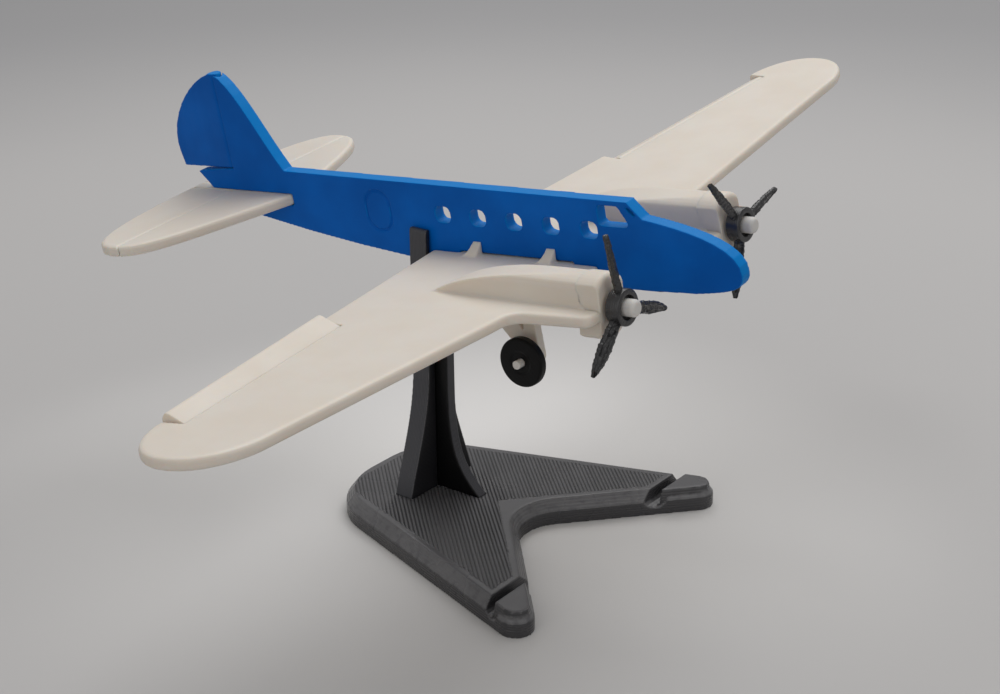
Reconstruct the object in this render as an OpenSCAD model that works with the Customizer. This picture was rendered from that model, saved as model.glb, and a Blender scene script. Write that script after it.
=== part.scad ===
// Plate-built model of a twin-engined airliner on a fork stand.
// The frame's origin is under the stand's post, at desk level: X forward, Y to port, Z up.
// The flying model is drawn level in a frame of its own, whose origin is the middle cabin window,
// and in_flight() sets it in the stand's fork. Each wing half is drawn flat, X forward,
// Y outwards and Z up from the plate's upper face, and in_wing() gives it its dihedral.

/* [Attitude] */
// Nose-up angle of the model in its fork
nose_up = 6.9; // [4:0.1:9]
// Sideways lean that the loose fork allows, port wing up
lean = 5.3; // [0:0.1:5.5]
// Height of the fork point about which the model pitches and leans
pivot_z = 31.8; // [31:0.1:33]
// Distance from that point forward to the middle window, along the model
seat_x = 13; // [12.6:0.1:13.4]
// Height of the middle window over that point, square to the model's axis
seat_z = 3.7; // [3.6:0.05:4]

/* [Fuselage] */
// Thickness of the fuselage plate
plate_t = 1.6; // [1.5:0.05:1.7]
// Furthest forward point of the nose
nose_x = 27.2; // [26:0.1:29]
// Height of the roof line at the windscreen
roof_front = 3.2; // [3:0.1:3.6]
// Height of the roof line at the fin
roof_rear = 3.85; // [3.7:0.05:4.2]
// Top of the windscreen
screen_x = 14.7; // [14.6:0.1:15.2]
// Foot of the windscreen
screen_foot = 16.3; // [16:0.1:16.6]
// Height of the windscreen's foot
screen_foot_z = 1.5; // [1.2:0.1:1.8]
// Depth of the belly under the cockpit
belly_z = 6.4; // [6.2:0.1:7]
// Height of the tail cone's deck, under the rudder
deck_z = 3.65; // [3.6:0.05:3.7]
// Aft end of the tail cone's deck
deck_end = -46.6; // [-47:0.1:-46]
// Top of the fin
fin_top = 15.1; // [13:0.1:17]
// Foot of the fin's leading edge
fin_foot = -32.4; // [-33:0.1:-31]

/* [Windows] */
// Spacing of the cabin windows
window_pitch = 4.81; // [4.6:0.01:4.81]
// Cabin window width
window_w = 2.1; // [1.6:0.05:2.4]
// Cabin window height
window_h = 1.9; // [1.5:0.05:2.4]
// Radius of the cabin windows' corners
window_r = 0.7; // [0.3:0.05:0.7]
// Drop of the window line from one window to the next
window_drop = 0.075; // [0:0.005:0.1]
// Door width
door_w = 3.8; // [3:0.1:4.4]
// Door height
door_h = 5; // [4:0.1:6]
// Distance of the door's middle behind the middle window
door_x = 18.8; // [17:0.1:21]
// Width of the door's engraved line
line_w = 0.3; // [0.2:0.05:0.4]
// Depth of the door's engraved line
line_d = 0.2; // [0.1:0.05:0.4]

/* [Rudder] */
// Hinge line of the rudder
rudder_x = -41.1; // [-41.4:0.1:-40.9]
// Chord of the rudder
rudder_chord = 9.1; // [7:0.1:10]
// Fall of the rudder's foot along its chord
foot_fall = 0.9; // [0:0.1:1.2]
// Angle at which the rudder stands, trailing edge to port
rudder_rest = 6; // [0:1:15]

/* [Wing] */
// Thickness of the wing plate
wing_t = 1.25; // [1.1:0.05:1.3]
// Half span, along the plate
half_span = 57.5; // [55:0.5:62]
// Dihedral
dihedral = 4.8; // [4:0.1:5]
// Height of the wing's upper face at the centre plane
wing_z = -4; // [-4.1:0.05:-3.95]
// Leading edge at the root
root_le = 10.2; // [9.8:0.1:10.4]
// Leading edge outboard
outer_le = 10.75; // [10.5:0.05:11]
// Trailing edge at the centre plane
root_te = -11.95; // [-12:0.05:-11.8]
// Trailing edge where the tip's curve starts
tip_te = -1.35; // [-2:0.05:-1]
// Length of the rounded tip along the span
tip_l = 6.5; // [6:0.1:7]
// Length of the root tab
tab_l = 15; // [10:0.5:16]
// Front end of the root tab
tab_front = 7; // [5:0.5:7]
// Radius of the wing's printed edges
edge_r = 0.4; // [0.2:0.05:0.5]
// Back of the rear root gusset
gusset_rear = -5.95; // [-6.2:0.05:-5.5]
// Back of the front root gusset
gusset_front = 3.85; // [3.5:0.05:4.2]
// Height of the root gussets on the fuselage
gusset_h = 1.55; // [1.2:0.05:1.8]
// Reach of the root gussets along the wing
gusset_reach = 1.5; // [1.2:0.1:2.4]
// Thickness of the root gussets
gusset_t = 1.15; // [0.9:0.05:1.3]

/* [Ailerons] */
// Inner end of the aileron
aileron_in = 25.1; // [22:0.1:28]
// Outer end of the aileron
aileron_out = 50.7; // [45:0.1:50.8]
// Chord at the inner end
aileron_chord_in = 2.6; // [2.2:0.1:3]
// Chord at the outer end
aileron_chord_out = 2.1; // [1.9:0.1:2.6]
// Angle at which the starboard aileron stands, trailing edge up
starboard_up = 27; // [0:1:30]
// Angle at which the port aileron stands, trailing edge down
port_down = 23; // [0:1:30]

/* [Engines] */
// Distance of each engine from the centre plane, along the plate
engine_y = 11.26; // [11:0.02:12]
// Half the width of the nacelle
nacelle_hw = 2.1; // [2:0.05:2.3]
// Radius of the cowl
cowl_r = 3.3; // [3.1:0.05:3.4]
// Height of the propeller's axis from the plate's upper face
thrust_z = -0.12; // [-0.2:0.01:0]
// Back of the cowl
cowl_back = 16.8; // [16:0.1:17]
// Front of the cowl
cowl_front = 19; // [18.6:0.1:19.4]
// Rear end of the nacelle
nacelle_rear = -1.8; // [-3:0.1:-1]
// Height of the nacelle's roof behind the cowl
nacelle_h = 3.05; // [2.8:0.05:3.1]
// Overhang of the plate beside the nacelle, at the wing
shelf_back = 5.1; // [4.8:0.1:5.4]
// Overhang of the plate beside the cowl
shelf_front = 4.2; // [3.8:0.1:4.5]

/* [Propellers] */
// Propeller radius
prop_r = 7.7; // [6:0.1:8]
// Hub radius
hub_r = 1.85; // [1.6:0.05:2]
// Hub length
hub_l = 1.5; // [1.3:0.05:1.6]
// Blade width
blade_w = 1.35; // [1:0.05:1.6]
// Blade thickness
blade_t = 0.6; // [0.4:0.05:0.8]
// Blade pitch
blade_pitch = 28; // [10:1:40]
// Where the starboard propeller has stopped
starboard_stop = 97; // [0:1:119]
// Where the port propeller has stopped
port_stop = 9; // [0:1:119]
// Radius of the propeller pin's shank
pin_r = 0.55; // [0.45:0.05:0.6]
// Radius of the propeller pin's head
pin_head_r = 0.88; // [0.8:0.02:0.95]
// How far the pin's head stands before the hub
pin_out = 1.1; // [0.8:0.1:1.3]

/* [Landing gear] */
// Axle's place ahead of the middle window
axle_x = 7.95; // [7.7:0.05:8.3]
// Drop of the axle from the plate's upper face
axle_drop = 6.9; // [6.6:0.1:7.4]
// Wheel radius
wheel_r = 2.6; // [2.2:0.05:2.9]
// Wheel width
wheel_w = 1; // [0.8:0.05:1.2]
// Axle radius
axle_r = 0.45; // [0.4:0.01:0.5]
// How far the axle stands out of the wheel
axle_out = 0.7; // [0.4:0.1:1]
// Thickness of the leg plate
leg_t = 1.1; // [0.9:0.05:1.2]
// Bare length of axle between the leg and the wheel
leg_gap = 1.2; // [0.3:0.1:1.6]

/* [Tailplane] */
// Thickness of the tailplane
tail_t = 1.3; // [1.1:0.05:1.4]
// Half span of the tailplane
tail_half = 19.9; // [18:0.1:22]
// Height of its upper face
tail_z = 1.03; // [0.9:0.01:1.1]
// Leading edge at the root
tail_le = -31.9; // [-32.1:0.05:-31.5]
// Trailing edge at the root
tail_te = -48.3; // [-49:0.1:-47.5]
// Furthest point of its tips
tail_tip = -42.5; // [-43.5:0.1:-41.5]
// Hinge line of the elevators
elevator_x = -41.8; // [-42.2:0.1:-41]

/* [Stand] */
// Thickness of the post
post_t = 2.35; // [2.2:0.05:2.4]
// Front face of the post
post_front = 1; // [0.9:0.05:1.05]
// Top of the fork's prongs
post_top = 33.85; // [33:0.05:34]
// Half the width of the post's stem
stem_hw = 1.8; // [1.7:0.05:2]
// Half the width of the post's foot
foot_hw = 5.5; // [4.5:0.1:6]
// Half the width of the fork's slot
fork_hw = 1.15; // [1.13:0.01:1.2]
// Floor of the fork's slot
fork_floor = 29.8; // [29:0.05:29.8]
// Thickness of the brace
brace_t = 1.36; // [1.2:0.02:1.5]
// Top of the brace
brace_top = 29.3; // [25:0.1:29.3]
// Front of the brace's foot
brace_foot = 6.95; // [6:0.05:7.5]
// Front of the brace under the wing
brace_head = 2.7; // [2.4:0.1:3.2]
// Height of the base
base_h = 2.85; // [2.5:0.05:3.2]
// Height of the base's bevel
bevel_h = 1.25; // [1:0.05:1.5]
// Width of the base's bevel
bevel_w = 1; // [0.8:0.05:1.2]
// Rear edge of the base behind the post
base_rear = 9.1; // [8:0.1:12]
// Half the width of the base at the post
base_hw = 11.41; // [10.5:0.05:13]
// Angle of the arms' outer edges from straight ahead
arm_out = 18.15; // [14:0.1:22]
// Angle of the arms' inner edges from straight ahead
arm_in = 47.9; // [45:0.1:52]
// Where the arms' inner edges would meet, ahead of the post
crotch_x = 11.53; // [11:0.05:13]
// Width of the trough across each arm
trough_w = 1.9; // [1.4:0.1:2.4]
// Middle of the trough ahead of the post
trough_x = 22.45; // [20:0.1:23]
// Depth left under the trough
trough_floor = 0.9; // [0.7:0.1:1.4]
// Depth of the seat of the post and brace in the base
seat_d = 1.2; // [0.8:0.1:1.5]

/* [Clearances] */
// Gap round a hinged or loose edge
hinge_gap = 0.12; // [0.1:0.01:0.14]
// Gap round a glued or pushed-in piece
fit_gap = 0.05; // [0.03:0.01:0.06]
// Radial clearance of a turning piece on its pin
run_gap = 0.07; // [0.05:0.01:0.09]

/* [Hidden] */
$fn = 48;
// How far a cut passes the face it opens, and a length longer than any small piece
past = 0.5;
ample = 10;
// Steps in a curve
curve_n = 9;
starboard = -1;
port = 1;
blades = 3;
blue = [0.03, 0.28, 0.5];
cream = [0.84, 0.8, 0.75];
black = [0.07, 0.07, 0.08];
charcoal = [0.22, 0.21, 0.22];
dark = [0.2, 0.2, 0.2];

// Slope of the wing's trailing edge, and its place at a distance s from the centre plane
tip_start = half_span - tip_l;
te_slope = (tip_te - root_te) / tip_start;
function wing_te(s) = root_te + te_slope * s;

// Hinge line of the aileron, in the plate
hinge_in = [wing_te(aileron_in) + aileron_chord_in, aileron_in];
hinge_out = [wing_te(aileron_out) + aileron_chord_out, aileron_out];
hinge_l = norm(hinge_out - hinge_in);
hinge_sweep = atan2(hinge_out[0] - hinge_in[0], hinge_out[1] - hinge_in[1]);

// Propeller and its pin along the thrust line
hub_back = cowl_front + 3 * hinge_gap;
hub_front = hub_back + hub_l;
hub_recess = hub_l * 0.4;
pin_head_back = hub_front - hub_recess + hinge_gap;
pin_back = cowl_back - 3;

// Wheel and leg across the nacelle
wheel_in = engine_y + 0.25;
leg_in = wheel_in - leg_gap - leg_t;

// Depth of the plate parts that stand in the base
seat_z0 = base_h - seat_d;
post_back = post_front - post_t;
groove_d = 0.4;

// Outline helpers

function unit(v) = v / norm(v);
function turn(v, a) = [v[0] * cos(a) - v[1] * sin(a), v[0] * sin(a) + v[1] * cos(a)];

// Points of a cubic curve that leaves p[0] towards p[1] and reaches p[3] from p[2], without its last point
function curve(p, n = curve_n) = [for (i = [0:n - 1]) let (t = i / n, u = 1 - t)
    u * u * u * p[0] + 3 * t * u * u * p[1] + 3 * t * t * u * p[2] + t * t * t * p[3]];

// Arc that rounds corner i of a closed outline
function corner(pts, i, r, n) = let (m = len(pts), p = pts[i],
    a = unit(pts[(i + m - 1) % m] - p), b = unit(pts[(i + 1) % m] - p),
    half = acos(a * b) / 2, c = p + unit(a + b) * r / sin(half),
    s = p + a * r / tan(half) - c, e = p + b * r / tan(half) - c,
    whole = atan2(e[1], e[0]) - atan2(s[1], s[0]),
    sweep = whole > 180 ? whole - 360 : whole < -180 ? whole + 360 : whole)
    [for (k = [0:n]) c + turn(s, sweep * k / n)];
function rounded(pts, radii, n = 5) =
    [for (i = [0:len(pts) - 1]) each (radii[i] > 0 ? corner(pts, i, radii[i], n) : [pts[i]])];

// A counter-clockwise outline moved inwards by d
function inset(pts, d) = let (m = len(pts)) [for (i = [0:m - 1]) let (p = pts[i],
    u = unit(p - pts[(i + m - 1) % m]), v = unit(pts[(i + 1) % m] - p),
    n = unit([-(u[1] + v[1]), u[0] + v[0]])) p + n * d / (n * [-u[1], u[0]])];
function at_z(pts, z) = [for (p = pts) [p[0], p[1], z]];
function reversed(pts) = [for (i = [len(pts) - 1:-1:0]) pts[i]];

// Solid through closed rings of equally many points, the lowest first. Each end is one face or the
// given ones, as lists of places in the ring, and a face's first point sees the whole of it.
module loft(rings, faces = []) {
    m = len(rings[0]);
    last = m * (len(rings) - 1);
    ends = len(faces) > 0 ? faces : [[for (i = [0:m - 1]) i]];
    sides = [for (k = [0:len(rings) - 2], i = [0:m - 1], half = [0, 1])
        let (a = k * m + i, b = k * m + (i + 1) % m) half == 0 ? [a, a + m, b + m] : [a, b + m, b]];
    polyhedron([for (r = rings) each r],
        concat(ends, [for (f = ends) [for (i = [len(f):-1:1]) last + f[i % len(f)]]], sides));
}

// Plate from z = -t to 0 whose edges are rounded to radius r in two steps
module soft_plate(pts, t, r, faces = []) {
    step = r * (1 - cos(45));
    loft([at_z(inset(pts, r), -t), at_z(inset(pts, step), -t + step), at_z(pts, -t + r),
          at_z(pts, -r), at_z(inset(pts, step), -step), at_z(inset(pts, r), 0)], faces);
}

// Plates that stand upright: along X, centred on the plane y = 0, and across X, from x to x + t
module along(t) rotate([90, 0, 0]) translate([0, 0, -t / 2]) linear_extrude(t) children();
module across(x, t) translate([x, 0, 0]) rotate([90, 0, 90]) linear_extrude(t) children();

// Frames of the model and of a wing half

module in_flight() translate([0, 0, pivot_z]) rotate([lean, -nose_up, 0])
    translate([seat_x, 0, seat_z]) children();
module in_wing(side) in_flight() mirror([0, side < 0 ? 1 : 0, 0])
    translate([0, 0, wing_z]) rotate([dihedral, 0, 0]) children();
module on_thrust_line(x) translate([x, engine_y, thrust_z]) rotate([0, 90, 0]) children();
module on_aileron_hinge() translate([hinge_in[0], hinge_in[1], -wing_t / 2])
    rotate([0, 0, -hinge_sweep]) children();

// Fuselage

function roof(x) = roof_rear + (roof_front - roof_rear) * (x - fin_foot) / (screen_x - fin_foot);
chin = [nose_x - 5.4, -belly_z + 0.4];
tail_lip = [-37.5, -1.95];
nose_tip = [nose_x, -3.6];
function fall(s) = foot_fall * s / rudder_chord;
body_outline = concat(
    [tail_lip, [-43.5, -0.55], [-44.7, tail_z + fit_gap], [deck_end, deck_z - fall(rudder_x - deck_end)],
     [rudder_x, deck_z],
     [rudder_x, fin_top]],
    curve([[rudder_x + 0.3, fin_top], [rudder_x + 3.1, fin_top - 1.1],
        [fin_foot - 3.1, roof_rear + 4.2], [fin_foot, roof_rear]]),
    [[fin_foot, roof_rear], [screen_x, roof_front]],
    curve([[screen_foot, screen_foot_z], [nose_x - 5.7, 0.7], [nose_x, -0.6], nose_tip]),
    curve([nose_tip, [nose_x, -5.3], [nose_x - 1.8, -5.5], chin]),
    curve([chin, [5, -belly_z - 0.5], [-14, -belly_z], tail_lip]));

module window(x, z) translate([x, z]) polygon(rounded(
    [for (s = [[-1, -1], [1, -1], [1, 1], [-1, 1]]) [s[0] * window_w / 2, s[1] * window_h / 2]],
    [for (i = [0:3]) window_r]));
module capsule(w, h) {
    square([w, h - w], center = true);
    for (end = [-1, 1]) translate([0, end * (h - w) / 2]) circle(d = w);
}

module fuselage_plate() color(blue) in_flight() difference() {
    along(plate_t) polygon(body_outline);
    // cabin windows
    along(plate_t + past) for (i = [-2:2]) window(i * window_pitch, -i * window_drop);
    // cockpit window and the narrow pane behind the windscreen
    along(plate_t + past) polygon(rounded([[10.95, 0.45], [14.85, 0.45], [13.5, 2.65], [10.95, 2.7]],
        [0.5, 0.4, 0.5, 0.5]));
    along(plate_t + past) polygon(concat(curve([[14.35, 2.75], [15, 2.6], [15.55, 2.1], [15.65, 1.6]], 5),
        curve([[15.65, 1.6], [15.2, 1.75], [14.5, 2.3], [14.35, 2.75]], 5)));
    // engraved door on both sides
    for (side = [-1, 1]) translate([-door_x, side * plate_t / 2, 0]) along(2 * line_d) difference() {
        capsule(door_w, door_h);
        capsule(door_w - 2 * line_w, door_h - 2 * line_w);
    }
    // slot for the wings' root tabs
    along(plate_t + past) translate([tab_front - tab_l - fit_gap, wing_z - wing_t - fit_gap])
        square([tab_l + 2 * fit_gap, wing_t + 2 * fit_gap + plate_t / 2 * tan(dihedral) + 0.02]);
    // slot for the tailplane, open at the back
    along(plate_t + past) translate([tail_te, tail_z - tail_t - fit_gap])
        square([tail_le - tail_te + fit_gap, tail_t + 2 * fit_gap]);
    // hollow that the rudder's round edge turns in
    translate([rudder_x, 0, deck_z]) cylinder(h = fin_top, r = plate_t / 2 + hinge_gap);
}

rudder_foot = deck_z + hinge_gap;
rudder_outline = concat([[0, rudder_foot]], [[0, fin_top]],
    curve([[-0.3, fin_top], [-0.5 * rudder_chord, fin_top - 1.1],
        [-rudder_chord, rudder_foot + 5.8], [-rudder_chord, rudder_foot + 2.4]]),
    curve([[-rudder_chord, rudder_foot + 2.4], [-rudder_chord, rudder_foot + 1.4],
        [-rudder_chord + 0.4, rudder_foot + 0.5 - foot_fall],
        [-rudder_chord + 0.8, rudder_foot - fall(rudder_chord - 0.8)]], 5));

module rudder() color(blue) in_flight() translate([rudder_x, 0, 0]) rotate([0, 0, -rudder_rest]) {
    along(plate_t) polygon(rudder_outline);
    translate([0, 0, rudder_foot]) cylinder(h = fin_top - rudder_foot, r = plate_t / 2);
}

// Wing halves

wing_tip = concat(
    curve([[tip_te, tip_start], [tip_te + 0.6, half_span - 2.8],
        [tip_te + 3.1, half_span], [tip_te + 6, half_span]]),
    curve([[tip_te + 6, half_span], [tip_te + 9.6, half_span],
        [outer_le + 0.1, tip_start + 3.2], [outer_le, tip_start - 1.5]]));
wing_front = rounded([[outer_le, 19.5], [outer_le - 0.1, engine_y + shelf_back],
    [cowl_front + 0.1, engine_y + shelf_front], [cowl_front + 0.1, engine_y - shelf_front],
    [root_le + 0.2, engine_y - shelf_back], [root_le, plate_t / 2]], [0, 1.6, 0.9, 0.9, 1.2, 0]);
wing_ring = reversed(concat(wing_tip, wing_front,
    [[wing_te(plate_t / 2), plate_t / 2], [wing_te(engine_y), engine_y]]));

// The plate's faces are in two parts, either side of a line outboard of the engine
wing_split = len(wing_front) + 1;
wing_faces = [[for (i = [0:wing_split]) i], concat([for (i = [wing_split:len(wing_ring) - 1]) i], [0])];

module wing_plate() soft_plate(wing_ring, wing_t, edge_r, wing_faces);

// Room behind the aileron's hinge line, g wider all round, with the round edge of radius r
module aileron_room(g, r) on_aileron_hinge() {
    translate([-ample, -g, -wing_t]) cube([ample, hinge_l + 2 * g, 2 * wing_t]);
    translate([0, -g, 0]) rotate([-90, 0, 0]) cylinder(h = hinge_l + 2 * g, r = r);
}

nacelle_roof = concat([[nacelle_rear, -wing_t / 2]],
    curve([[nacelle_rear, 0], [nacelle_rear + 3.3, 0.52 * nacelle_h],
        [nacelle_rear + 6.8, 0.9 * nacelle_h], [cowl_back - fit_gap, nacelle_h]]),
    [[cowl_back - fit_gap, nacelle_h], [cowl_back - fit_gap, -wing_t / 2]]);
// Section of the nacelle: upright walls and an arched roof a step lower than the cowl
roof_r = cowl_r - 0.1;
wall_angle = acos(nacelle_hw / roof_r);
wall_top = thrust_z + roof_r * sin(wall_angle) - 0.45;
arch_from = wall_angle + 5;
arch_n = 12;
nacelle_section = concat([[-nacelle_hw, wall_top], [-nacelle_hw, -wing_t / 2], [nacelle_hw, -wing_t / 2],
    [nacelle_hw, wall_top]],
    [for (i = [0:arch_n]) let (a = arch_from + (180 - 2 * arch_from) * i / arch_n)
        roof_r * [cos(a), sin(a)] + [0, thrust_z]]);

module nacelle() intersection() {
    translate([0, engine_y, 0]) along(2 * nacelle_hw) polygon(nacelle_roof);
    translate([0, engine_y, 0]) across(nacelle_rear, cowl_back - nacelle_rear) polygon(nacelle_section);
}

// Triangular rib between the wing's upper face and the fuselage, its aft side hollowed to a flare
flare = 1.1;
gusset_slope = gusset_h / gusset_reach;
gusset_root = plate_t / 2 + fit_gap;
module gusset(x) intersection() {
    translate([x, 0, 0]) along(2 * (plate_t + gusset_reach)) polygon(concat(
        [[gusset_t, -past], [gusset_t, gusset_h], [0, gusset_h]],
        curve([[0, gusset_h], [-0.05, 0.5], [-0.3, 0.15], [-flare, -0.1]], 5), [[-flare, -past]]));
    across(x - flare - past, gusset_t + flare + 2 * past) polygon([[gusset_root, -past],
        [gusset_root + gusset_reach + past / gusset_slope, -past], [gusset_root, gusset_h]]);
}

module wing(side) in_wing(side) difference() {
    union() {
        wing_plate();
        nacelle();
        for (x = [gusset_rear, gusset_front]) gusset(x);
        translate([tab_front - tab_l, fit_gap, -wing_t + fit_gap]) cube([tab_l, plate_t, wing_t - 2 * fit_gap]);
    }
    aileron_room(hinge_gap, wing_t / 2 + hinge_gap);
    // seat of the cowl between the plate's two front corners
    translate([cowl_back, engine_y - nacelle_hw - fit_gap, -wing_t - past])
        cube([ample, 2 * (nacelle_hw + fit_gap), cowl_r + wing_t + past]);
    on_thrust_line(pin_back - fit_gap) cylinder(h = ample, r = pin_r + fit_gap / 2);
    // seats of the gear leg's two tabs
    leg_tabs(fit_gap);
}
module wing_starboard() color(cream) wing(starboard);
module wing_port() color(cream) wing(port);

module aileron(side, angle) in_wing(side) on_aileron_hinge() rotate([0, angle, 0]) {
    intersection() {
        rotate([0, 0, hinge_sweep]) translate([-hinge_in[0], -hinge_in[1], wing_t / 2]) wing_plate();
        translate([-ample, hinge_gap / 2, -wing_t]) cube([ample, hinge_l - hinge_gap, 2 * wing_t]);
    }
    translate([0, hinge_gap / 2, 0]) rotate([-90, 0, 0]) cylinder(h = hinge_l - hinge_gap, r = wing_t / 2);
}
module aileron_starboard() color(cream) aileron(starboard, starboard_up);
module aileron_port() color(cream) aileron(port, -port_down);

// Cowls, propellers and their pins

module engine_cowl(side) in_wing(side) difference() {
    intersection() {
        on_thrust_line(cowl_back + fit_gap) rotate_extrude() polygon(rounded(
            [[0, 0], [cowl_r, 0], [cowl_r, cowl_front - cowl_back - fit_gap],
             [0, cowl_front - cowl_back - fit_gap]], [0, 0, 0.6, 0]));
        translate([cowl_back, engine_y - nacelle_hw, -cowl_r - past])
            cube([ample, 2 * nacelle_hw, 2 * (cowl_r + past)]);
    }
    on_thrust_line(cowl_back) cylinder(h = ample, r = pin_r + fit_gap / 2);
}
module engine_cowl_starboard() color(cream) engine_cowl(starboard);
module engine_cowl_port() color(cream) engine_cowl(port);

module propeller_pin(side) in_wing(side) on_thrust_line(pin_back) {
    cylinder(h = pin_head_back - pin_back, r = pin_r);
    translate([0, 0, pin_head_back - pin_back]) rotate_extrude() polygon(rounded(
        [[0, 0], [pin_head_r, 0], [pin_head_r, hub_front + pin_out - pin_head_back],
         [0, hub_front + pin_out - pin_head_back]], [0, 0, 0.45, 0]));
}
module propeller_pin_starboard() color(cream) propeller_pin(starboard);
module propeller_pin_port() color(cream) propeller_pin(port);

blade_outline = concat(
    curve([[hub_r - 0.3, -0.4 * blade_w], [hub_r + 1, -0.5 * blade_w], [prop_r - 3, -0.56 * blade_w],
        [prop_r - 1.3, -0.4 * blade_w]], 5),
    curve([[prop_r - 1.3, -0.4 * blade_w], [prop_r - 0.5, -0.33 * blade_w], [prop_r, -0.2 * blade_w],
        [prop_r, 0.06 * blade_w]], 4),
    curve([[prop_r, 0.06 * blade_w], [prop_r - 0.2, 0.36 * blade_w], [prop_r - 0.8, 0.45 * blade_w],
        [prop_r - 1.8, 0.48 * blade_w]], 4),
    curve([[prop_r - 1.8, 0.48 * blade_w], [hub_r + 2, 0.54 * blade_w], [hub_r + 1, 0.5 * blade_w],
        [hub_r - 0.3, 0.4 * blade_w]], 4), [[hub_r - 0.3, 0.4 * blade_w]]);

// A blade at angle a stands that far round from port towards up
module propeller(side, stop) in_wing(side) translate([hub_back, engine_y, thrust_z])
    rotate([-dihedral, 0, 0]) difference() {
        union() {
            rotate([0, 90, 0]) cylinder(h = hub_l, r = hub_r);
            for (i = [0:blades - 1]) rotate([side * (stop + i * 360 / blades) + (side < 0 ? 180 : 0), 0, 0])
                translate([hub_l / 2, 0, 0]) rotate([0, 90 + side * blade_pitch, 0])
                    translate([0, 0, -blade_t / 2]) linear_extrude(blade_t)
                        polygon([for (p = blade_outline) [p[1], p[0]]]);
        }
        translate([-past, 0, 0]) rotate([0, 90, 0]) cylinder(h = hub_l + 2 * past, r = pin_r + run_gap);
        translate([hub_l - hub_recess, 0, 0]) rotate([0, 90, 0])
            cylinder(h = hub_l, r = pin_head_r + 3 * hinge_gap);
    }
module propeller_starboard() color(dark) propeller(starboard, starboard_stop);
module propeller_port() color(dark) propeller(port, port_stop);

// Landing gear

leg_eye_r = 0.9;
main_top = [7.1, 8.3];
drag_top = [1.7, 4.6];
tab_h = 0.9;
module leg_tabs(g) translate([0, leg_in - g, -wing_t - past]) {
    for (top = [main_top, drag_top]) translate([top[0] + 0.3 - g, 0, 0])
        cube([top[1] - top[0] - 0.6 + 2 * g, leg_t + 2 * g, past + tab_h + g]);
}
module strut(top) hull() {
    translate([top[0], -wing_t - fit_gap - 0.2]) square([top[1] - top[0], 0.2]);
    translate([axle_x, -axle_drop]) circle(r = leg_eye_r, $fn = 32);
}
module gear_leg(side) in_wing(side) difference() {
    union() {
        translate([0, leg_in + leg_t / 2, 0]) along(leg_t) { strut(main_top); strut(drag_top); }
        intersection() {
            leg_tabs(0);
            translate([-past, 0, -wing_t - fit_gap - 0.1]) cube([ample, 2 * engine_y, ample]);
        }
    }
    translate([axle_x, leg_in - past, -axle_drop]) rotate([-90, 0, 0])
        cylinder(h = leg_t + 2 * past, r = axle_r + fit_gap / 2);
}
module gear_leg_starboard() color(cream) gear_leg(starboard);
module gear_leg_port() color(cream) gear_leg(port);

module axle(side) in_wing(side) translate([axle_x, leg_in, -axle_drop]) rotate([-90, 0, 0])
    cylinder(h = wheel_in - leg_in + wheel_w + axle_out, r = axle_r);
module axle_starboard() color(cream) axle(starboard);
module axle_port() color(cream) axle(port);

wheel_section = [[axle_r + run_gap, 0], [wheel_r - 0.2, 0], [wheel_r, 0.2], [wheel_r, wheel_w - 0.2],
    [wheel_r - 0.2, wheel_w], [0.62 * wheel_r, wheel_w], [0.56 * wheel_r, wheel_w - 0.15],
    [axle_r + run_gap, wheel_w - 0.15]];
module wheel(side) in_wing(side) translate([axle_x, wheel_in, -axle_drop]) rotate([-90, 0, 0])
    rotate_extrude() polygon(wheel_section);
module wheel_starboard() color(black) wheel(starboard);
module wheel_port() color(black) wheel(port);

// Tailplane and elevators

tail_side = concat(
    curve([[tail_te, 2], [tail_te + 0.3, 0.6 * tail_half], [tail_te + 1.5, tail_half], [tail_tip, tail_half]]),
    curve([[tail_tip, tail_half], [tail_tip + 4.7, tail_half], [tail_le - 4.7, 0.73 * tail_half],
        [tail_le, plate_t / 2]]),
    [[tail_le, plate_t / 2]]);
tail_ring = concat(reversed(tail_side), [for (p = tail_side) [p[0], -p[1]]]);
tail_slit = plate_t / 2 + 2 * hinge_gap;

module tail_plate() translate([0, 0, tail_z]) soft_plate(tail_ring, tail_t, edge_r);
module elevator_room(g, r) {
    translate([tail_te - past, tail_slit - g, tail_z - tail_t - past])
        cube([elevator_x - tail_te + past, tail_half, tail_t + 2 * past]);
    translate([elevator_x, tail_slit - g, tail_z - tail_t / 2]) rotate([-90, 0, 0])
        cylinder(h = tail_half, r = r);
}
module tailplane() color(cream) in_flight() difference() {
    tail_plate();
    for (side = [0, 1]) mirror([0, side, 0]) elevator_room(hinge_gap, tail_t / 2 + hinge_gap);
}
module elevator(side) in_flight() mirror([0, side < 0 ? 1 : 0, 0]) intersection() {
    tail_plate();
    elevator_room(0, tail_t / 2);
}
module elevator_starboard() color(cream) elevator(starboard);
module elevator_port() color(cream) elevator(port);

// Stand

stem_foot = 18;
post_edge = curve([[stem_hw, stem_foot], [stem_hw, 12], [0.73 * foot_hw, 8], [foot_hw, base_h]]);
post_side = concat([[stem_hw, post_top - 0.3], [stem_hw, stem_foot + 1]], post_edge,
    [[foot_hw, base_h], [foot_hw, seat_z0]]);
post_outline = concat([[fork_hw, post_top], [stem_hw - 0.2, post_top]], post_side,
    [for (p = reversed(post_side)) [-p[0], p[1]]],
    [[-stem_hw + 0.2, post_top], [-fork_hw, post_top], [-fork_hw, fork_floor], [fork_hw, fork_floor]]);

module stand_post() color(black) difference() {
    across(post_back, post_t) polygon(post_outline);
    // groove that the brace's back edge stands in
    translate([post_front - groove_d, -brace_t / 2 - fit_gap, seat_z0 - past])
        cube([groove_d + past, brace_t + 2 * fit_gap, brace_top + fit_gap - seat_z0 + past]);
}

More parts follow.
